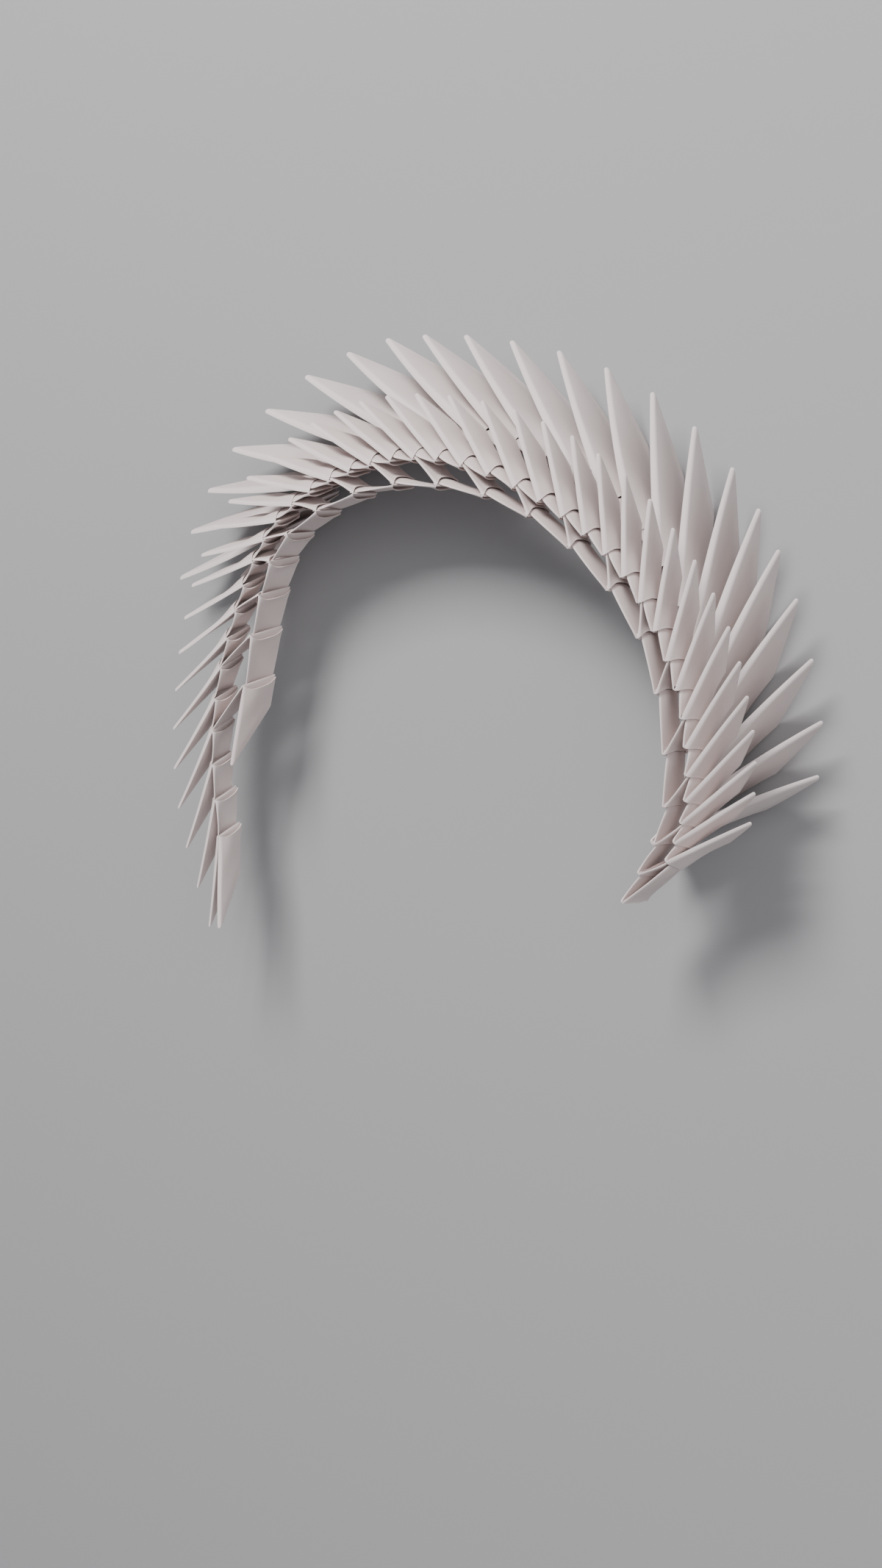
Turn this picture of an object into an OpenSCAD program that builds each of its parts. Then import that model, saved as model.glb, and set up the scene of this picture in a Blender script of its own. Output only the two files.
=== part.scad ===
// Folded-paper headpiece: three interlocked rows of V-shaped modules set round
// an open arch. Every module is one folded strip of stiff card with two
// flattened leaves that meet at a short ridge. The leaf nearer the head runs
// along the arch into the open mouth of the next module, the other leaf is a
// free pointed spike or, in the inner row, enters a module of the middle row.
// Both leaves of the last module of a row are free.
// The piece lies on its back: X runs across the head, Y from the ends of the
// arch to its crown, Z up from the surface to the edge that faces forward when
// worn. Origin: middle of the arch on the surface it lies on. Millimetres.

/* [Module sizes] */
// length of a free spike of the middle row, ridge to tip
short_spike = 34; // [31:0.5:35]
// length of a free spike of the outer row, ridge to tip
long_spike = 61; // [56:0.5:62]
// width of the inner modules, front fold to back fold
inner_width = 14; // [12:0.5:14]
// width of the middle modules, front fold to back fold
narrow_width = 12; // [10:0.5:12.5]
// width of the outer modules, front fold to back fold
wide_width = 20; // [16:0.5:21]
// length of the slanted end as a share of the width
slant_share = 1.4; // [1.2:0.05:1.5]

/* [Card] */
// thickness of the folded card at the rim of a mouth
card = 0.4; // [0.3:0.05:0.5]
// greatest opening of a mouth in the inner and middle rows
mouth = 4; // [4:0.25:5]
// greatest opening of a mouth in the outer row
wide_mouth = 6; // [4:0.25:6]
// depth of the pocket inside a mouth
pocket = 7; // [4:0.5:8]
// thickness of a leaf at its far end
leaf_end = 0.6; // [0.5:0.1:0.8]
// gap left between a leaf and the rim it runs under
gap = 0.6; // [0.5:0.1:0.8]

/* [Arch] */
// slope of the modules up from front fold to back fold at the crown, degrees;
// it grows to twice as much on the left and fades out on the right
back_rise = 11.5; // [8:0.5:12]

/* [Outer row] */
// how far the outer row stands behind the front edge
setback = 14.75; // [14.75:0.25:16]
// length of a long spike from its ridge to its place in the outer line
root = 6; // [5.5:0.25:6]
// backward lean of the long spikes, degrees
long_lean = 9; // [7:0.5:10]

/* [Hidden] */
inner_count = 20;
middle_count = 39;
outer_count = 22;
// from the middle of the arch to its sides
half_span = 95;

// Inner row, one line for every third module: across, up, backward lean of
// the module in degrees
inner_line = [
    [70.5, -90, -2],
    [86, -59, 0],
    [76.5, -4.5, 0],
    [34.5, 37.5, 2],
    [-20, 51.5, 8],
    [-66, 37, 15],
    [-82.5, 1.5, 17],
    [-90.5, -57.5, 18]];

// Middle row, one line for every fourth module: across, up, aim of the free
// spike in degrees from +X, backward lean of the module in degrees
middle_line = [
    [84, -82.5, 16, -2],
    [93.5, -57, 42, -2],
    [90, -21.5, 66, 0],
    [70.5, 15.5, 91, 3],
    [38.5, 42, 111, 5],
    [-2.5, 58.5, 136, 7],
    [-39, 57, 158, 9],
    [-71, 41.5, 184, 9],
    [-89.5, 10.5, 209, 6],
    [-100, -32.5, 240, 2],
    [-95.5, -83.5, 270, 0]];

// Outer row, one line for every third module: place along the middle row
// counted in its modules, distance outside the middle row, aim of the spike.
// The ridges lie deeper by root, hidden behind the middle row
outer_line = [
    [1.6, -10.8, 21],
    [6.5, -3, 55],
    [9.9, 5.5, 79],
    [13.8, 10.7, 106],
    [17.7, 13.7, 129],
    [21.2, 13.5, 146],
    [25.6, 12.5, 171],
    [28.9, 10.5, 198]];

// Stations through the width of a module, front to back: share of the width,
// share of the mouth opening, share of the inner leaf, share of the pocket
stations = [
    [0, 0.25, 0.4, 0.05],
    [0.45, 1, 1, 1],
    [1, 0.55, 0.6, 0.05]];

// Smooth line through the rows of a table
function row_at(tab, k) = let (n = len(tab) - 1)
    k < 0 ? 2 * tab[0] - tab[1] : k > n ? 2 * tab[n] - tab[n - 1] : tab[k];
function along(tab, u) =
    let (k = min(max(floor(u), 0), len(tab) - 2), t = u - k,
         a = row_at(tab, k - 1), b = row_at(tab, k),
         c = row_at(tab, k + 1), d = row_at(tab, k + 2))
    0.5 * (2 * b + (c - a) * t + (2 * a - 5 * b + 4 * c - d) * t * t
        + (3 * b - a - 3 * c + d) * t * t * t);

function unit_of(v) = v / norm(v);
front = [0, 0, 1];
function flat_aim(angle) = [cos(angle), sin(angle), 0];
function side_of(dir) = unit_of(cross(dir, front));
// A flat direction carried along when its module leans back
function leant(v, angle, lean) =
    let (l = flat_aim(angle), s = flat_aim(angle + 90))
    (v * l) * (cos(lean) * l - sin(lean) * front) + (v * s) * s;
// Angle from one flat direction to another, -180 to 180
function turn(from, to) =
    let (d = atan2(to[1], to[0]) - atan2(from[1], from[0]))
    d > 180 ? d - 360 : d < -180 ? d + 360 : d;
// The inner leaf keeps a least angle from the outer one
least_turn = 6;
function parted(out, v) =
    let (d = turn(out, v), a = atan2(out[1], out[0]))
    d < least_turn ? norm(v) * flat_aim(a + least_turn) : v;
// From a foot to the middle of the next module's mouth
function run_to(foot, next_foot, next_aim, next_mouth, thick) =
    let (step = unit_of(next_foot - foot))
    next_foot + side_of(next_aim) * next_mouth / 2
        + side_of(step) * thick / 2 - foot;
function room(step, dir, most) = min(most, norm(cross(step, dir)) - 1.2);
leaf_thick = 2.4;
tip_end = 1.2;
// How far a leaf reaches into the mouth at the middle of its width
bite = -0.3;
inner_bite = -1.3;
// Length of the free inner leaf at the end of the inner and the outer row
end_leaf = 30;

// Middle row
function mid_row(i) = along(middle_line, i / 4);
function mid_foot(i) = let (r = mid_row(i)) [r[0], r[1], 0];
function mid_aim(i) = flat_aim(mid_row(i)[2]);
function mid_mouth(i) = room(mid_foot(i) - mid_foot(i - 1), mid_aim(i - 1), mouth);
function mid_run(i) = parted(mid_aim(i),
    run_to(mid_foot(i), mid_foot(i + 1), mid_aim(i + 1), mid_mouth(i + 1), leaf_thick));

// Inner row, its outer leaves inside modules of the middle row
function in_row(i) = along(inner_line, i / 3);
function in_foot(i) = let (r = in_row(i)) [r[0], r[1], 0];
// Angle of the way straight out of the arch
function in_out(i) = let (e = in_row(i + 0.5) - in_row(i - 0.5)) atan2(-e[0], e[1]);
// The outer leaf enters the near middle module that it meets most nearly at
// reach_turn degrees to that module's own inner leaf
reach_turn = 25;
function in_off(i, j) = let (v = mid_foot(j) - in_foot(i))
    abs(turn(mid_run(j), v) + reach_turn) + 1.5 * norm(v);
function nearest(i, j, k) = j > middle_count ? k
    : nearest(i, j + 1, in_off(i, j) < in_off(i, k) ? j : k);
in_goals = [for (i = [0 : inner_count]) nearest(i, 1, 1)];
function in_target(i) = let (j = in_goals[i]) i == 0
    ? mid_foot(1) + side_of(mid_aim(1)) * mid_mouth(1) / 2
    : mid_foot(j) - side_of(unit_of(mid_run(j))) * leaf_thick / 2;
function in_mouth(i) = i == 0 ? 2.6
    : room(in_foot(i) - in_foot(i - 1), unit_of(in_target(i) - in_foot(i)), 2.6);
function in_reach(i) = let (v = in_target(i) - in_foot(i))
    v - side_of(v) * in_mouth(i) / 2;
function in_run(i) = parted(in_reach(i),
    run_to(in_foot(i), in_foot(i + 1), unit_of(in_reach(i + 1)), in_mouth(i + 1), leaf_thick));

// Outer row, behind the other two
function out_row(i) = along(outer_line, i / 3);
function out_foot(i) =
    let (w = out_row(i), u = w[0], r = mid_row(u),
         e = mid_row(u + 0.05) - mid_row(u - 0.05))
    [r[0], r[1], -setback] + side_of([e[0], e[1], 0]) * w[1] - flat_aim(w[2]) * root;
function out_aim(i) = flat_aim(out_row(i)[2]);
function out_mouth(i) = room(out_foot(i) - out_foot(i - 1), out_aim(i - 1), wide_mouth);
function out_run(i) = parted(out_aim(i),
    run_to(out_foot(i), out_foot(i + 1), out_aim(i + 1), out_mouth(i + 1), leaf_thick));

// Cut of a leaf's far end that makes it lie along the mouth it enters
function skew_to(dir, next_dir) =
    let (d = turn(next_dir, dir)) tan(min(max(d, -50), 50));

// Corner points of one module, each station an outline of 16 points. Lengths
// are given front, middle and back; out_cut and in_cut are the cuts of the two
// far ends, out_end is the thickness of the outer one. The slope of the arch
// leaves the points at the depth of level where they are.
function module_points(foot, out_dir, in_dir, out_len, in_len, width, open, out_end,
        out_cut, in_cut, level = 0) =
    let (up = unit_of(cross(out_dir, in_dir)),
         so = cross(out_dir, up), si = cross(up, in_dir),
         mid = unit_of(out_dir + in_dir), fold = 1.8, spine = 1.2)
    [for (k = [0 : 2])
        let (st = stations[k], base = foot - up * st[0] * width,
             deep = pocket * st[3], oc = open / 2, ic = leaf_thick / 2,
             oh = oc * st[1], ih = ic * st[2],
             wo = min(card, oh * 0.6), wi = min(card, ih * 0.6),
             eo = min(out_end / 2, oh * 0.8), ei = leaf_end / 2 * st[2],
             lo = out_len[k], li = in_len[k],
             ridge = so * (oc - oh) / 2 + si * (ic - ih) / 2)
        for (p = [
            base + so * (oc + oh),
            base + out_dir * (lo + eo * out_cut) + so * (oc + eo),
            base + out_dir * (lo - eo * out_cut) + so * (oc - eo),
            base + out_dir * fold + so * (oc - oh),
            base + mid * spine + ridge,
            base + in_dir * fold + si * (ic - ih),
            base + in_dir * (li - ei * in_cut) + si * (ic - ei),
            base + in_dir * (li + ei * in_cut) + si * (ic + ei),
            base + si * (ic + ih),
            base + si * (ic + ih - wi),
            base + si * ic + in_dir * min(deep, 3),
            base + si * (ic - ih + wi),
            base - mid * 0.3 + ridge,
            base + so * (oc - oh + wo),
            base + so * oc + out_dir * deep,
            base + so * (oc + oh - wo)])
        p + [0, (level - p[2]) * tan(back_rise) * (1 - p[0] / half_span), 0]];

// Triangles of a cap, counted round the outline of a module
corners = 16;
cap = [[0, 1, 14], [1, 2, 14], [2, 3, 14], [0, 14, 15], [3, 13, 14], [3, 12, 13],
       [3, 4, 12], [4, 5, 12], [5, 11, 12], [5, 10, 11], [5, 6, 10], [6, 7, 10],
       [7, 8, 10], [8, 9, 10]];
function module_faces(first) = [
    for (t = cap) [first + t[2], first + t[1], first + t[0]],
    for (t = cap) [for (q = t) first + 2 * corners + q],
    for (k = [0, corners], j = [0 : corners - 1])
        let (a = first + k + j, b = first + k + (j + 1) % corners)
        each [[a, b, b + corners], [a, b + corners, a + corners]]];

function spike(len, slant) = [len, len - 0.45 * slant, len - slant];
function tongue(len, deep) = [len - gap, len + deep, len - gap - 0.8];

function mid_points(i) =
    let (r = mid_row(i), v = mid_run(i), n = norm(v), last = i == middle_count)
    module_points(mid_foot(i), leant(mid_aim(i), r[2], r[3]),
        leant(unit_of(v), r[2], r[3]),
        spike(short_spike, narrow_width * slant_share),
        last ? spike(short_spike, narrow_width * slant_share) : tongue(n, bite),
        narrow_width, mid_mouth(i), tip_end,
        0, last ? 0 : skew_to(v, mid_aim(i + 1)));
function in_points(i) =
    let (v = in_run(i), n = norm(v), r = in_reach(i), m = norm(r),
         a = in_out(i), lean = in_row(i)[2],
         last = i == inner_count - 1)
    module_points(in_foot(i), leant(unit_of(r), a, lean), leant(unit_of(v), a, lean),
        tongue(m - 0.5, inner_bite),
        last ? spike(end_leaf, inner_width * slant_share) : tongue(n - 0.4, bite),
        inner_width, in_mouth(i), leaf_end,
        -skew_to(r, i == 0 ? mid_aim(1) : mid_run(in_goals[i])),
        last ? 0 : skew_to(v, in_reach(i + 1)));
function out_points(i) =
    let (r = out_row(i), v = out_run(i), n = norm(v), last = i == outer_count - 1)
    module_points(out_foot(i), leant(out_aim(i), r[2], long_lean),
        leant(unit_of(v), r[2], long_lean),
        spike(long_spike, wide_width * slant_share),
        last ? spike(end_leaf, wide_width * slant_share / 2) : tongue(n, bite),
        wide_width, out_mouth(i), tip_end,
        0, last ? 0 : skew_to(v, out_aim(i + 1)),
        -setback - long_spike * sin(long_lean));

// The origin is under the middle of the whole piece, and the lowest fold
// rests on the surface
every = [for (i = [0 : outer_count - 1]) each out_points(i),
    for (i = [1 : middle_count]) each mid_points(i)];
function low(k) = min([for (p = every) p[k]]);
function high(k) = max([for (p = every) p[k]]);
shift = [-(low(0) + high(0)) / 2, -(low(1) + high(1)) / 2, -low(2)];

// A run of modules, each a closed solid of its own
module folded_run(points, tint) {
    color(tint)
        translate(shift)
            polyhedron(points = [for (p = points) each p],
                faces = [for (j = [0 : len(points) - 1]) each module_faces(3 * corners * j)],
                convexity = 8);
}

inner_tint = [0.86, 0.83, 0.83];
middle_tint = [0.9, 0.87, 0.87];
outer_tint = [0.93, 0.91, 0.9];

module inner_row(a, b) { folded_run([for (i = [a : b]) in_points(i)], inner_tint); }
module middle_row(a, b) { folded_run([for (i = [a : b]) mid_points(i)], middle_tint); }
module outer_row(a, b) { folded_run([for (i = [a : b]) out_points(i)], outer_tint); }

module inner_row_1() { inner_row(0, 5); }
module inner_row_2() { inner_row(6, 10); }
module inner_row_3() { inner_row(11, 15); }
module inner_row_4() { inner_row(16, 19); }
module middle_row_1() { middle_row(1, 7); }
module middle_row_2() { middle_row(8, 13); }
module middle_row_3() { middle_row(14, 20); }
module middle_row_4() { middle_row(21, 27); }
module middle_row_5() { middle_row(28, 33); }
module middle_row_6() { middle_row(34, 39); }
module outer_row_1() { outer_row(0, 4); }
module outer_row_2() { outer_row(5, 8); }
module outer_row_3() { outer_row(9, 12); }
module outer_row_4() { outer_row(13, 17); }
module outer_row_5() { outer_row(18, 21); }

inner_row_1();
inner_row_2();
inner_row_3();
inner_row_4();
middle_row_1();
middle_row_2();
middle_row_3();
middle_row_4();
middle_row_5();
middle_row_6();
outer_row_1();
outer_row_2();
outer_row_3();
outer_row_4();
outer_row_5();
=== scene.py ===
"""Visual model of the folded-card headpiece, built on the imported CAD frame."""

import math

import bpy
import numpy as np
from mathutils import Matrix, Vector


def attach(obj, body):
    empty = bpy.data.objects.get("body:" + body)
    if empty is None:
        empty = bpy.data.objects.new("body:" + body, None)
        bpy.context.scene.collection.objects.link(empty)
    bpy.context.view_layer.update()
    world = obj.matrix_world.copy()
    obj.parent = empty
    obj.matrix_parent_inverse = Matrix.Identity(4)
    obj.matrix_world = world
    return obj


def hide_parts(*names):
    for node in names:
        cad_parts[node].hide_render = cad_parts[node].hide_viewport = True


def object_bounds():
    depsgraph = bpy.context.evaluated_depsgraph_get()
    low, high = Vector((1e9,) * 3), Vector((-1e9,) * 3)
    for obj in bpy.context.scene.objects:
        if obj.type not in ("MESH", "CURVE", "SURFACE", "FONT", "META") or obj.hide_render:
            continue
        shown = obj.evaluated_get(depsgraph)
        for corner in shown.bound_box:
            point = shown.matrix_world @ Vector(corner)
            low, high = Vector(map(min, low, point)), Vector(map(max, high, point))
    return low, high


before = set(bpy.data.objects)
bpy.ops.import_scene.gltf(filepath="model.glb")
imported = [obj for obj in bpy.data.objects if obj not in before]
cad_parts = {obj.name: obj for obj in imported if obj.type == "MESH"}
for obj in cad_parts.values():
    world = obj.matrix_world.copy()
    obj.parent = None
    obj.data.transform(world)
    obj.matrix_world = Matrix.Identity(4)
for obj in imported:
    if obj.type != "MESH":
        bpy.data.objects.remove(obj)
cad_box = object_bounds()

MM = 0.001
rng = np.random.default_rng(4711)

# ---------------------------------------------------------------------------
# Rows of the headpiece, the same tables as the CAD source, in millimetres
# ---------------------------------------------------------------------------
SHORT, LONG = 34.0, 61.0
INNER_W, NARROW, WIDE = 14.0, 12.0, 20.0
SLANT = 1.4
MOUTH, WIDE_MOUTH = 4.0, 6.0
SETBACK, LONG_LEAN, ROOT = 14.75, 9.0, 6.0
BACK_RISE, HALF_SPAN = math.tan(math.radians(11.5)), 95.0
LEAF, END_LEAF = 2.4, 30.0
N_IN, N_MID, N_OUT = 20, 39, 22

# across, up, lean
INNER = [(70.5, -90, -2), (86, -59, 0), (76.5, -4.5, 0), (34.5, 37.5, 2), (-20, 51.5, 8), (-66, 37, 15), (-82.5, 1.5, 17),
         (-90.5, -57.5, 18)]
# across, up, aim, lean
MIDDLE = [(84, -82.5, 16, -2), (93.5, -57, 42, -2), (90, -21.5, 66, 0), (70.5, 15.5, 91, 3), (38.5, 42, 111, 5),
          (-2.5, 58.5, 136, 7), (-39, 57, 158, 9), (-71, 41.5, 184, 9), (-89.5, 10.5, 209, 6), (-100, -32.5, 240, 2),
          (-95.5, -83.5, 270, 0)]
# place, distance outside, aim
OUTER = [(1.6, -10.8, 21), (6.5, -3, 55), (9.9, 5.5, 79), (13.8, 10.7, 106), (17.7, 13.7, 129), (21.2, 13.5, 146),
         (25.6, 12.5, 171), (28.9, 10.5, 198)]
FRONT = np.array([0.0, 0.0, 1.0])


def along(tab, u):
    tab = [np.array(r, float) for r in tab]
    n = len(tab) - 1
    k = int(min(max(math.floor(u), 0), n - 1))
    t = u - k
    row = lambda j: 2 * tab[0] - tab[1] if j < 0 else 2 * tab[n] - tab[n - 1] if j > n else tab[j]
    a, b, c, d = row(k - 1), row(k), row(k + 1), row(k + 2)
    return 0.5 * (2 * b + (c - a) * t + (2 * a - 5 * b + 4 * c - d) * t * t + (3 * b - a - 3 * c + d) * t ** 3)


def unit(v):
    return v / np.linalg.norm(v)


def flat(deg):
    return np.array([math.cos(math.radians(deg)), math.sin(math.radians(deg)), 0.0])


def side_of(d):
    return unit(np.cross(d, FRONT))


def leant(v, deg, lean):
    l, s = flat(deg), flat(deg + 90)
    a = math.radians(lean)
    return v.dot(l) * (math.cos(a) * l - math.sin(a) * FRONT) + v.dot(s) * s


def deg_of(v):
    return math.degrees(math.atan2(v[1], v[0]))


def turn(a, b):
    d = deg_of(b) - deg_of(a)
    return d - 360 if d > 180 else d + 360 if d < -180 else d


def parted(out, v):
    return np.linalg.norm(v) * flat(deg_of(out) + 6) if turn(out, v) < 6 else v


def run_to(foot, nfoot, naim, nmouth):
    step = unit(nfoot - foot)
    return nfoot + side_of(naim) * nmouth / 2 + side_of(step) * LEAF / 2 - foot


def room(step, d, most):
    return min(most, np.linalg.norm(np.cross(step, d)) - 1.2)


def mid_row(i):
    return along(MIDDLE, i / 4)


def mid_foot(i):
    r = mid_row(i)
    return np.array([r[0], r[1], 0.0])


def mid_aim(i):
    return flat(mid_row(i)[2])


def mid_mouth(i):
    return room(mid_foot(i) - mid_foot(i - 1), mid_aim(i - 1), MOUTH)


def mid_run(i):
    return parted(mid_aim(i), run_to(mid_foot(i), mid_foot(i + 1), mid_aim(i + 1), mid_mouth(i + 1)))


def in_out(i):
    e = along(INNER, (i + 0.5) / 3) - along(INNER, (i - 0.5) / 3)
    return math.degrees(math.atan2(-e[0], e[1]))


def in_foot(i):
    r = along(INNER, i / 3)
    return np.array([r[0], r[1], 0.0])


def in_off(i, j):
    v = mid_foot(j) - in_foot(i)
    return abs(turn(mid_run(j), v) + 25) + 1.5 * np.linalg.norm(v)


IN_GOALS = [min(range(1, N_MID + 1), key=lambda j: in_off(i, j)) for i in range(N_IN + 1)]


def in_target(i):
    j = IN_GOALS[i]
    if i == 0:
        return mid_foot(1) + side_of(mid_aim(1)) * mid_mouth(1) / 2
    return mid_foot(j) - side_of(unit(mid_run(j))) * LEAF / 2


def in_mouth(i):
    return 2.6 if i == 0 else room(in_foot(i) - in_foot(i - 1), unit(in_target(i) - in_foot(i)), 2.6)


def in_reach(i):
    v = in_target(i) - in_foot(i)
    return v - side_of(v) * in_mouth(i) / 2


def in_run(i):
    return parted(in_reach(i), run_to(in_foot(i), in_foot(i + 1), unit(in_reach(i + 1)), in_mouth(i + 1)))


def out_row(i):
    return along(OUTER, i / 3)


def out_foot(i):
    w = out_row(i)
    u = w[0]
    r = mid_row(u)
    e = mid_row(u + 0.05) - mid_row(u - 0.05)
    return np.array([r[0], r[1], -SETBACK]) + side_of(np.array([e[0], e[1], 0.0])) * w[1] - flat(w[2]) * ROOT


def out_aim(i):
    return flat(out_row(i)[2])


def out_mouth(i):
    return room(out_foot(i) - out_foot(i - 1), out_aim(i - 1), WIDE_MOUTH)


def out_run(i):
    return parted(out_aim(i), run_to(out_foot(i), out_foot(i + 1), out_aim(i + 1), out_mouth(i + 1)))


def risen(pts, foot):
    """The modules slope up from front to back, most on the left of the arch."""
    pts = np.array(pts, float)
    level = 0 if foot[2] > -1 else -SETBACK - LONG * math.sin(math.radians(LONG_LEAN))
    pts[:, 1] += (level - pts[:, 2]) * BACK_RISE * (1 - pts[:, 0] / HALF_SPAN)
    return pts


class Seat:
    """Place of one module: its foot, its two leaf directions and its sides."""

    def __init__(self, foot, out_dir, in_dir, width, mouth):
        self.foot, self.o, self.i = foot, out_dir, in_dir
        self.up = unit(np.cross(out_dir, in_dir))
        self.so, self.si = np.cross(out_dir, self.up), np.cross(self.up, in_dir)
        self.width, self.mouth = width, mouth


def mid_seat(i):
    r, v = mid_row(i), mid_run(i)
    return Seat(mid_foot(i), leant(mid_aim(i), r[2], r[3]), leant(unit(v), r[2], r[3]), NARROW, mid_mouth(i))


def in_seat(i):
    v, r = in_run(i), in_reach(i)
    a, lean = in_out(i), along(INNER, i / 3)[2]
    return Seat(in_foot(i), leant(unit(r), a, lean), leant(unit(v), a, lean), INNER_W, in_mouth(i))


def out_seat(i):
    r, v = out_row(i), out_run(i)
    return Seat(out_foot(i), leant(out_aim(i), r[2], LONG_LEAN), leant(unit(v), r[2], LONG_LEAN), WIDE, out_mouth(i))


# ---------------------------------------------------------------------------
# One folded module as a closed mesh: an outline of many points at each depth
# ---------------------------------------------------------------------------
DEPTH = np.array([0, .005, .018, .038, .066, .1, .16, .23, .31, .39, .47, .56, .65, .74, .83, .9, .945, .972, .99, 1.0])
RUN = np.array([0, .03, .07, .13, .2, .3, .42, .54, .66, .77, .86, .93, .97, 1.0])
ARC = np.radians([68, 34, 0, -34, -68])
POCKET = np.array([0, .12, .35, .65, 1.0])


def smooth(x):
    x = np.clip(x, 0, 1)
    return x * x * (3 - 2 * x)


def bulge(t):
    """Share of the full opening at each depth of a mouth, front to back."""
    a = 0.27 + 0.73 * np.sin(np.pi / 2 * np.clip(t / 0.42, 0, 1)) ** 1.15
    b = 1 - 0.48 * np.clip((t - 0.42) / 0.58, 0, 1) ** 1.5
    return np.where(t < 0.42, a, b)


def rounded(z, width, r):
    """Roundness of the front and back folds: 0 on the edge, 1 past the radius."""
    e = np.minimum(np.minimum(z, width - z), r) / r
    return np.sqrt(np.clip(1 - (1 - e) ** 2, 0, 1)) * 0.94 + 0.06


def rim_rise(t):
    """The cut rim of a mouth stands back from the ridge between its two folds."""
    return np.sin(np.pi / 2 * np.clip(t / 0.3, 0, 1)) * (1 - 0.7 * smooth((t - 0.78) / 0.22))


def build_module(seat, outer, inner, tone):
    """outer and inner say what each leaf does:
    ("spike", length) or ("into", goal seat, which mouth of it)."""
    K = len(DEPTH)
    W = seat.width
    big = W > 17
    t = DEPTH
    z = t * W
    base = seat.foot[None] - seat.up[None] * z[:, None]
    fr = 0.8 if big else 0.62
    E = rounded(z, W, fr)
    wob = rng.normal(size=12)
    # the two leaves part at the very ridge on the folds, deeper in between
    open_up = smooth(np.minimum(z, W - z) / 2.5)
    fold, spine = 0.35 + 1.35 * open_up, 0.2 + 1.3 * open_up
    mid = unit(seat.o + seat.i)
    # half the thickness of the folded layers of a leaf, away from its mouth
    body = (1.15 if big else 0.92) * (0.6 + 0.4 * np.sin(np.pi * t) ** 0.7) * (1 + 0.04 * wob[4])
    # a free spike is thinner along its folds and fuller in the middle
    share = 0.52 if big else 0.6
    puffy = (1.15 if big else 0.92) * (share + (1 - share) * np.clip(np.sin(np.pi * t), 0, 1) ** 0.6) * (1 + 0.04 * wob[4])

    def leaf(kind, d, s, full):
        """Points of the outer wall, tip and inner wall, each K x n x 3."""
        root = full / 2 * bulge(t) * E
        crisp = rounded(z, W, 0.5)
        rise = (2.6 if big else 1.8) * min(full / seat.mouth, 1) * rim_rise(t)
        if kind[0] == "spike":
            L = kind[1]
            tip = 0.74 if big else 0.62
            rt = 2.0 * tip
            reach = L - SLANT * W * t - 0.9 * rt * (1 - np.sqrt(np.clip(1 - (1 - np.minimum(z, rt) / rt) ** 2, 0, 1)))
            sag = (L / 55.0) ** 2 * 0.75 * (1 + 0.2 * wob[0])
            side = 0.22 * wob[1] * (L / 55.0)

            def centre(u, h):
                b = base[:, None] + d * (u * reach[:, None])[..., None]
                off = h - sag * 4 * u * (1 - u) + side * u * u
                return b + s * off[..., None], np.broadcast_to(d, b.shape), np.broadcast_to(s, b.shape)

            def half(u):
                to_body = smooth(u * reach[:, None] / (22.0 if big else 13.0))
                slim = puffy[:, None] * ((1.9 - 1.0 * u) if big else (1.25 - 0.4 * u))
                near_end = smooth((u - 1) * reach[:, None] / (9.0 if big else 4.5) + 1)
                h = root[:, None] * (1 - to_body) + slim * E[:, None] * to_body
                h = h * (1 - near_end) + np.minimum(h, tip * E[:, None]) * near_end
                return h + ripple(u)

            end = tip * E
        else:
            goal, which = kind[1], kind[2]
            # share of the width by which the front and the back fold recede
            f, b_ = (0.11, 0.03) if which == "out" else (0.05, (W - goal.width) / W + 0.03)
            deeper = 1.4 if which == "out" else 1.2
            thick = 0.6 if big else 0.44 if which == "out" else 0.46
            zz_end = t * W + W * (f * (1 - t) - b_ * t)
            open_end = goal.mouth * bulge(np.clip(zz_end / goal.width, 0, 1))
            # the next module's leaf lies against the outer wall of the mouth,
            # the inner row's leaf beside the ridge
            place = open_end - thick - 0.3 if which == "out" else np.full(K, thick + 0.2)
            place = np.clip(place, thick * 0.7, None)
            gate = goal.foot[None] - goal.up * zz_end[:, None] + goal.so * place[:, None]
            reach = np.full(K, np.linalg.norm(gate[8] - seat.foot))

            def centre(u, h):
                # a flat leaf that runs to the mouth and goes on a little inside
                k = np.clip(u / 0.88, 0, 1)[..., None]
                a = base[:, None] + s * h[..., None]
                b = gate[:, None]
                bow = s * (4 * k * (1 - k) * 0.2 * (1 + 0.6 * wob[3]))
                past = np.clip((u - 0.88) / 0.12, 0, 1)[..., None]
                tb = unit(0.75 * unit(gate[8] - seat.foot + seat.up * zz_end[8]) + 0.25 * goal.o)
                p = a + (b - a) * k + bow + tb * past * deeper
                return p, np.broadcast_to(tb, p.shape), np.broadcast_to(s, p.shape)

            def half(u):
                to_body = smooth(u * reach[:, None] / 4.5)
                slim = (thick * crisp * (0.62 + 0.38 * np.sin(np.pi * t) ** 0.6))[:, None]
                h = root[:, None] * (1 - to_body) + slim * to_body
                return h * (1 - 0.35 * smooth((u - 0.86) / 0.14)) + ripple(u)

            end = 0.5 * E

        def ripple(u):
            w = 0.05 * np.sin(3 * u * np.pi + wob[2]) * np.sin(np.pi * t[:, None]) * E[:, None]
            return w * (u > 0) * (u < 1)

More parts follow.
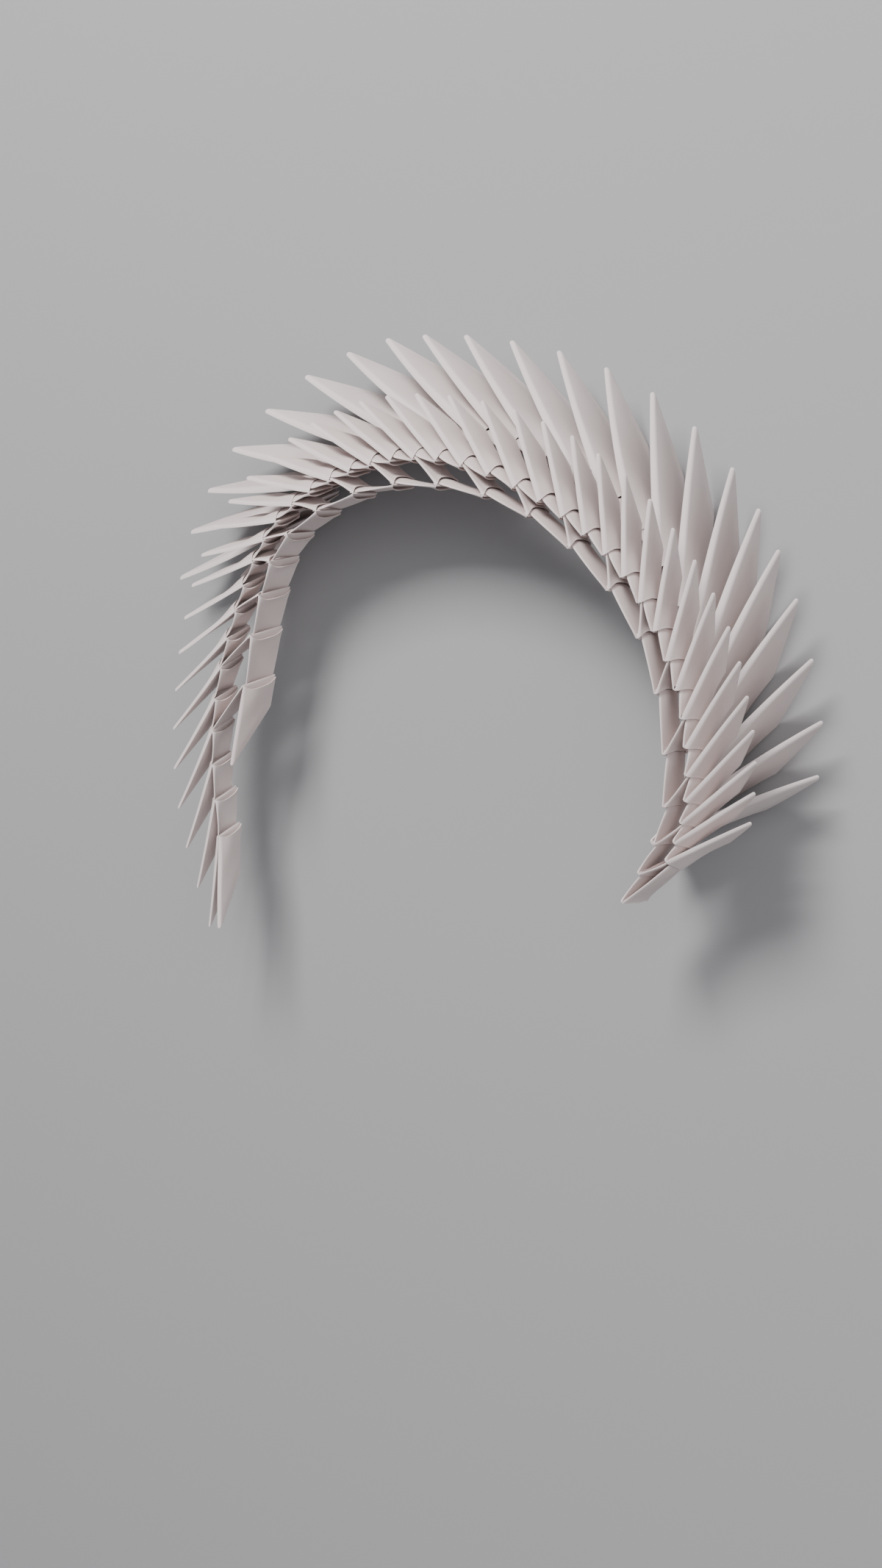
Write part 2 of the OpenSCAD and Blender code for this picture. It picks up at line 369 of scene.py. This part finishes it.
        u0 = (rise / np.maximum(reach, 4))[:, None]
        uo = u0 + (1 - u0) * RUN[None]
        c, tg, sd = centre(uo, half(uo))
        wall_out = c + sd * half(uo)[..., None]
        rim = wall_out[:, 0]
        f0 = (fold / np.maximum(reach, 3))[:, None]
        ui = f0 + (1 - f0) * RUN[None]
        c2, _, sd2 = centre(ui, half(ui))
        wall_in = c2 - sd2 * half(ui)[..., None]
        one = np.ones((K, 1))
        ce, te, se = centre(one, half(one))
        he = half(one)[..., None]
        tip_pts = ce + te * he * 0.95 * np.cos(ARC)[None, :, None] + se * he * np.sin(ARC)[None, :, None]
        return wall_out, tip_pts, wall_in, root, rim

    def pocket(d, s, root, rim, depth):
        """Inside of a mouth, from the outer rim to the bottom and back."""
        w = np.minimum(0.36, root * 0.55)
        lo, hi = w, 2 * root - w
        mc = (lo + hi) / 2
        deep = 0.3 + depth * np.sin(np.pi * np.clip(t, 0.02, 0.98)) ** 0.7
        k = POCKET[None]
        q = (1 - k) ** 0.9
        start = rim - s * w[:, None]
        low = np.minimum(mc, body * E * 0.9)
        bottom = base + d * deep[:, None] + s * low[:, None]
        out_side = start[:, None] * q[..., None] + (1 - q)[..., None] * bottom[:, None] \
            + d * ((k - (1 - q)) * deep[:, None])[..., None]
        in_side = base[:, None] + d * (k * deep[:, None])[..., None] + s * (low[:, None] + (lo - low)[:, None] * q)[..., None]
        return out_side, in_side[:, :-1][:, ::-1]

    o_out, o_tip, o_in, o_root, o_rim = leaf(outer, seat.o, seat.so, seat.mouth)
    i_out, i_tip, i_in, i_root, i_rim = leaf(inner, seat.i, seat.si, LEAF)
    po_out, po_in = pocket(seat.o, seat.so, o_root, o_rim, 13.0 if big else 8.5)
    pi_out, pi_in = pocket(seat.i, seat.si, i_root, i_rim, 4.5)
    slit = base + mid * spine[:, None]
    back = base - mid * (0.42 * E)[:, None]
    ring = np.concatenate([
        o_out, o_tip, o_in[:, ::-1], slit[:, None], i_in, i_tip[:, ::-1], i_out[:, ::-1],
        pi_out, pi_in, back[:, None], po_in[:, ::-1], po_out[:, ::-1]], axis=1)
    n = ring.shape[1]
    # how strongly a point lies on a fold or rim, for the painted highlight along the card's folds and cut rims
    edge = np.repeat((1 - np.clip(np.minimum(z, W - z) / (fr * 1.5), 0, 1))[:, None], n, 1)
    nr = len(RUN)
    rim = np.zeros(n)
    rim[0] = 1
    rim[n - 1] = 1
    edge = np.maximum(edge, rim[None] * 0.8)
    inside = np.zeros(n)
    first = 2 * nr + 5 + 1 + 2 * nr + 5
    inside[first:] = 1
    quads = []
    for k in range(K - 1):
        for j in range(n):
            a, b = k * n + j, k * n + (j + 1) % n
            quads.append((a, b, b + n, a + n))
    caps = [tuple(range(n))[::-1], tuple((K - 1) * n + j for j in range(n))]
    pts = risen(ring.reshape(-1, 3), seat.foot)
    tones = np.full(len(pts), tone)
    return pts, quads + caps, edge.reshape(-1), np.tile(inside, K), tones


# ---------------------------------------------------------------------------
# Lowest and middle points of the CAD modules give the shift to the row frame
# ---------------------------------------------------------------------------
lo, hi = Vector(cad_box[0]), Vector(cad_box[1])


def corners_of(seat, out_len, in_len, in_cut):
    """Outer points of a CAD module: only these can reach the lowest or widest place."""
    pts = []
    for k, (sh, sm, sl) in enumerate(((0, 0.25, 0.4), (0.45, 1, 1), (1, 0.55, 0.6))):
        b = seat.foot - seat.up * sh * seat.width
        oc, ic = seat.mouth / 2, LEAF / 2
        oh, ih = oc * sm, ic * sl
        eo, ei = min(0.6, oh * 0.8), 0.3 * sl
        for q in (1, -1):
            pts.append(b + seat.so * (oc + q * oh))
            pts.append(b + seat.o * out_len[k] + seat.so * (oc + q * eo))
            pts.append(b + seat.si * (ic + q * ih))
            pts.append(b + seat.i * (in_len[k] + q * ei * in_cut) + seat.si * (ic + q * ei))
    return list(risen(pts, seat.foot))


def spike_len(length, width):
    return [length, length - 0.45 * SLANT * width, length - SLANT * width]


def tongue(n):
    return [n - 0.6, n - 0.3, n - 0.6 - 0.8]


def skew(a, b):
    return math.tan(math.radians(min(max(turn(b, a), -50), 50)))


every = []
for i in range(1, N_MID + 1):
    v, last = mid_run(i), i == N_MID
    every += corners_of(mid_seat(i), spike_len(SHORT, NARROW),
                        spike_len(SHORT, NARROW) if last else tongue(np.linalg.norm(v)),
                        0 if last else skew(v, mid_aim(i + 1)))
for i in range(N_OUT):
    v, last = out_run(i), i == N_OUT - 1
    every += corners_of(out_seat(i), spike_len(LONG, WIDE),
                        spike_len(END_LEAF, WIDE / 2) if last else tongue(np.linalg.norm(v)),
                        0 if last else skew(v, out_aim(i + 1)))
every = np.array(every)
SHIFT = np.array([-(every[:, 0].min() + every[:, 0].max()) / 2, -(every[:, 1].min() + every[:, 1].max()) / 2, -every[:, 2].min()])
print("SHIFT", SHIFT, "CAD box", [round(v * 1000, 2) for v in lo], [round(v * 1000, 2) for v in hi])


# ---------------------------------------------------------------------------
# Card material
# ---------------------------------------------------------------------------
def card_material(name, colour, grain):
    m = bpy.data.materials.new(name)
    m.use_nodes = True
    nt = m.node_tree
    n, l = nt.nodes, nt.links
    n.clear()
    out = n.new("ShaderNodeOutputMaterial")
    bsdf = n.new("ShaderNodeBsdfPrincipled")
    l.new(bsdf.outputs[0], out.inputs[0])
    bsdf.inputs["Roughness"].default_value = 0.82
    bsdf.inputs["Specular IOR Level"].default_value = 0.22
    bsdf.inputs["Sheen Weight"].default_value = 0.08
    bsdf.inputs["Sheen Roughness"].default_value = 0.6
    tc = n.new("ShaderNodeTexCoord")
    # mottling of the sheet, broad and faint
    broad = n.new("ShaderNodeTexNoise")
    broad.inputs["Scale"].default_value = 46
    broad.inputs["Detail"].default_value = 5
    l.new(tc.outputs["Object"], broad.inputs["Vector"])
    ramp = n.new("ShaderNodeValToRGB")
    ramp.color_ramp.elements[0].position = 0.3
    ramp.color_ramp.elements[0].color = (colour[0] * 0.93, colour[1] * 0.905, colour[2] * 0.9, 1)
    ramp.color_ramp.elements[1].position = 0.7
    ramp.color_ramp.elements[1].color = (*colour, 1)
    l.new(broad.outputs["Fac"], ramp.inputs["Fac"])
    # each module a touch lighter or darker
    tone = n.new("ShaderNodeAttribute")
    tone.attribute_name = "tone"
    hsv = n.new("ShaderNodeHueSaturation")
    l.new(ramp.outputs["Color"], hsv.inputs["Color"])
    l.new(tone.outputs["Fac"], hsv.inputs["Value"])
    # folds and cut rims are painted paler, a painted highlight where the rounded folds catch the light
    edge = n.new("ShaderNodeAttribute")
    edge.attribute_name = "edge"
    mix = n.new("ShaderNodeMix")
    mix.data_type = "RGBA"
    mix.inputs["B"].default_value = (min(colour[0] * 1.13, 1), min(colour[1] * 1.14, 1), min(colour[2] * 1.15, 1), 1)
    l.new(edge.outputs["Fac"], mix.inputs["Factor"])
    l.new(hsv.outputs["Color"], mix.inputs["A"])
    l.new(mix.outputs["Result"], bsdf.inputs["Base Color"])
    # felt-like tooth and fine fibres of the card
    fine = n.new("ShaderNodeTexNoise")
    fine.inputs["Scale"].default_value = grain
    fine.inputs["Detail"].default_value = 6
    fine.inputs["Roughness"].default_value = 0.62
    l.new(tc.outputs["Object"], fine.inputs["Vector"])
    mp = n.new("ShaderNodeMapping")
    mp.inputs["Scale"].default_value = (1900, 420, 900)
    mp.inputs["Rotation"].default_value = (0.4, 0.2, 0.9)
    l.new(tc.outputs["Object"], mp.inputs["Vector"])
    fibre = n.new("ShaderNodeTexNoise")
    fibre.inputs["Scale"].default_value = 1.0
    fibre.inputs["Detail"].default_value = 3
    l.new(mp.outputs["Vector"], fibre.inputs["Vector"])
    b1 = n.new("ShaderNodeBump")
    b1.inputs["Strength"].default_value = 0.22
    b1.inputs["Distance"].default_value = 0.0001
    l.new(fine.outputs["Fac"], b1.inputs["Height"])
    b2 = n.new("ShaderNodeBump")
    b2.inputs["Strength"].default_value = 0.12
    b2.inputs["Distance"].default_value = 0.0001
    l.new(fibre.outputs["Fac"], b2.inputs["Height"])
    l.new(b1.outputs["Normal"], b2.inputs["Normal"])
    l.new(b2.outputs["Normal"], bsdf.inputs["Normal"])
    return m


MATS = {
    "inner": card_material("card_inner", (0.66, 0.575, 0.56), 1500),
    "middle": card_material("card_middle", (0.67, 0.59, 0.575), 1500),
    "outer": card_material("card_outer", (0.66, 0.59, 0.578), 1400),
}


def add_run(row, number, modules):
    verts, faces, edges, insides, tones = [], [], [], [], []
    count = 0
    for pts, fs, e, ins, tn in modules:
        verts.append(pts)
        faces += [tuple(v + count for v in f) for f in fs]
        edges.append(e)
        insides.append(ins)
        tones.append(tn)
        count += len(pts)
    v = (np.concatenate(verts) + SHIFT) * MM
    me = bpy.data.meshes.new(f"card_{row}_row_{number}")
    me.from_pydata(v.tolist(), [], faces)
    me.validate()
    # point attributes: a painted highlight on folds and rims, and a random tone for each module
    for name, data in (("edge", edges), ("tone", tones)):
        at = me.attributes.new(name, "FLOAT", "POINT")
        at.data.foreach_set("value", np.concatenate(data).astype(np.float32))
    me.polygons.foreach_set("use_smooth", [True] * len(me.polygons))
    me.set_sharp_from_angle(angle=math.radians(38))
    me.materials.append(MATS[row])
    me.update()
    ob = bpy.data.objects.new(f"card_{row}_row_{number}", me)
    bpy.context.scene.collection.objects.link(ob)
    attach(ob, "root")
    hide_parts(f"{row}_row_{number}")
    return ob


def tone():
    return 1.0 + 0.02 * float(rng.normal())


IN_RUNS = [(0, 5), (6, 10), (11, 15), (16, 19)]
MID_RUNS = [(1, 7), (8, 13), (14, 20), (21, 27), (28, 33), (34, 39)]
OUT_RUNS = [(0, 4), (5, 8), (9, 12), (13, 17), (18, 21)]
pieces = []
for k, (a, b) in enumerate(IN_RUNS):
    mods = []
    for i in range(a, b + 1):
        goal = ("into", mid_seat(1), "out") if i == 0 else ("into", mid_seat(IN_GOALS[i]), "in")
        nxt = ("spike", END_LEAF) if i == N_IN - 1 else ("into", in_seat(i + 1), "out")
        mods.append(build_module(in_seat(i), goal, nxt, tone()))
    pieces.append(add_run("inner", k + 1, mods))
for k, (a, b) in enumerate(MID_RUNS):
    mods = []
    for i in range(a, b + 1):
        nxt = ("spike", SHORT) if i == N_MID else ("into", mid_seat(i + 1), "out")
        mods.append(build_module(mid_seat(i), ("spike", SHORT), nxt, tone()))
    pieces.append(add_run("middle", k + 1, mods))
for k, (a, b) in enumerate(OUT_RUNS):
    mods = []
    for i in range(a, b + 1):
        nxt = ("spike", END_LEAF) if i == N_OUT - 1 else ("into", out_seat(i + 1), "out")
        mods.append(build_module(out_seat(i), ("spike", LONG), nxt, tone()))
    pieces.append(add_run("outer", k + 1, mods))

# ---------------------------------------------------------------------------
# Floor, light and camera
# ---------------------------------------------------------------------------
fm = bpy.data.materials.new("floor")
fm.use_nodes = True
fb = fm.node_tree.nodes["Principled BSDF"]
fb.inputs["Base Color"].default_value = (0.36, 0.36, 0.37, 1)
fb.inputs["Roughness"].default_value = 0.9
fb.inputs["Specular IOR Level"].default_value = 0.15
me = bpy.data.meshes.new("floor")
R = 6.0
me.from_pydata([(-R, -R, 0), (R, -R, 0), (R, R, 0), (-R, R, 0)], [], [(0, 1, 2, 3)])
me.materials.append(fm)
floor = bpy.data.objects.new("floor", me)
floor.location = (0, 0, -0.0002)
bpy.context.scene.collection.objects.link(floor)

yaw = math.radians(34)
right = Vector((math.cos(yaw), 0, -math.sin(yaw)))
upv = Vector((0, 1, 0))
toward = Vector((math.sin(yaw), 0, math.cos(yaw)))
front_z = SHIFT[2]
eye = Vector(((475.3 + SHIFT[0]) * MM, (-51.6 + SHIFT[1]) * MM, (front_z + 704.7) * MM))
cam = bpy.data.cameras.new("camera")
cam.sensor_width = 36
cam.lens = 36 * 3400 / 2133
cam.clip_start = 0.01
cam.clip_end = 50
co = bpy.data.objects.new("camera", cam)
co.matrix_world = Matrix.Translation(eye) @ Matrix((right, upv, toward)).transposed().to_4x4()
bpy.context.scene.collection.objects.link(co)
bpy.context.scene.camera = co


def area(name, where, size, watts, colour=(1, 1, 1)):
    d = bpy.data.lights.new(name, "AREA")
    d.shape = "SQUARE"
    d.size = size
    d.energy = watts
    d.color = colour
    o = bpy.data.objects.new(name, d)
    where = Vector(where)
    o.matrix_world = Matrix.Translation(where) @ (where - Vector((0, 0, 0.02))).to_track_quat("Z", "Y").to_matrix().to_4x4()
    bpy.context.scene.collection.objects.link(o)
    return o


key_dir = -0.55 * right + 0.85 * upv + 0.75 * toward
area("key", key_dir.normalized() * 1.5, 0.55, 32, (1.0, 0.985, 0.965))
area("fill", (right * 0.9 + toward * 0.9 - upv * 0.2).normalized() * 1.8, 1.2, 7, (0.98, 0.98, 1.0))
area("front", (toward + upv * 0.25 + right * 0.1).normalized() * 1.6, 0.9, 6, (1.0, 0.99, 0.98))
world = bpy.data.worlds.new("world")
world.use_nodes = True
world.node_tree.nodes["Background"].inputs["Color"].default_value = (0.95, 0.96, 1.0, 1)
world.node_tree.nodes["Background"].inputs["Strength"].default_value = 0.36
bpy.context.scene.world = world
